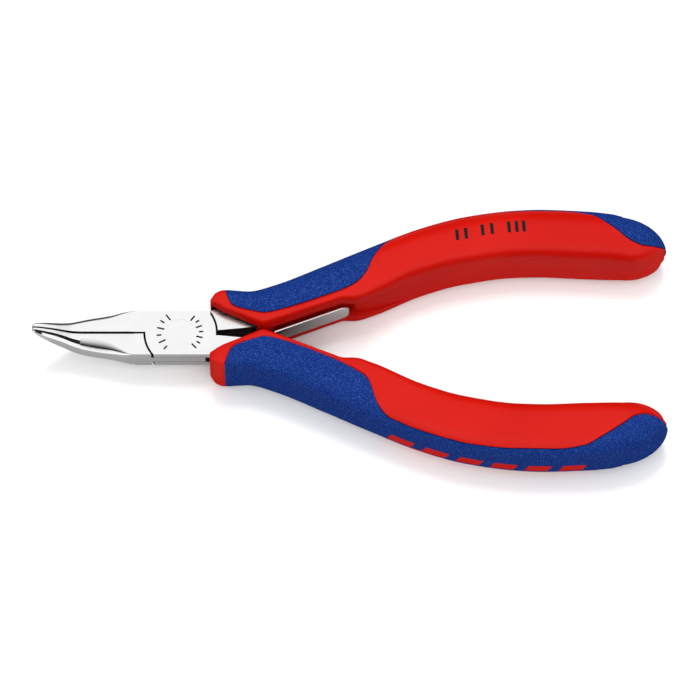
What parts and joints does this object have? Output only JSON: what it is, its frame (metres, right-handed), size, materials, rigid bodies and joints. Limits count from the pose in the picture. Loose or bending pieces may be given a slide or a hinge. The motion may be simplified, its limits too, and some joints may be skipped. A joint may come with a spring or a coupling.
{
  "type": "bent needle nose pliers",
  "caption": "Short smooth-jaw gripping pliers with tips bent out of plane, box joint, leaf springs and two-component grips.",
  "frame": {"origin": "pivot axis at the flat underside of the head", "axes": "+X towards the handle ends, jaws on -X, +Y towards the right handle seen from behind the handles, +Z towards the side the tips bend to"},
  "size_m": [0.115, 0.0474, 0.013],
  "materials": {
    "polished_steel": "mirror-polished forged tool steel",
    "spring_steel": "plain rolled spring strip",
    "hard_plastic": "red, satin, moulded",
    "soft_plastic": "dark blue, soft, finely textured"
  },
  "bodies": {
    "outer_half_body": {"outer_half": "polished_steel", "pivot_pin": "polished_steel", "left_spring": "spring_steel", "left_grip_core": "hard_plastic", "left_grip_sleeve": "soft_plastic"},
    "inner_half_body": {"inner_half": "polished_steel", "right_spring": "spring_steel", "right_grip_core": "hard_plastic", "right_grip_sleeve": "soft_plastic"}
  },
  "joints": [
    {"name": "jaw_pivot", "type": "hinge", "parent": "outer_half_body", "child": "inner_half_body", "pos_m": [0, 0, 0.003], "axis": [0, 0, 1], "range_deg": [0, 20], "stiffness_Nm_per_rad": 0.8, "springref_deg": 17.19, "deforming": ["left_spring", "right_spring"]}
  ]
}
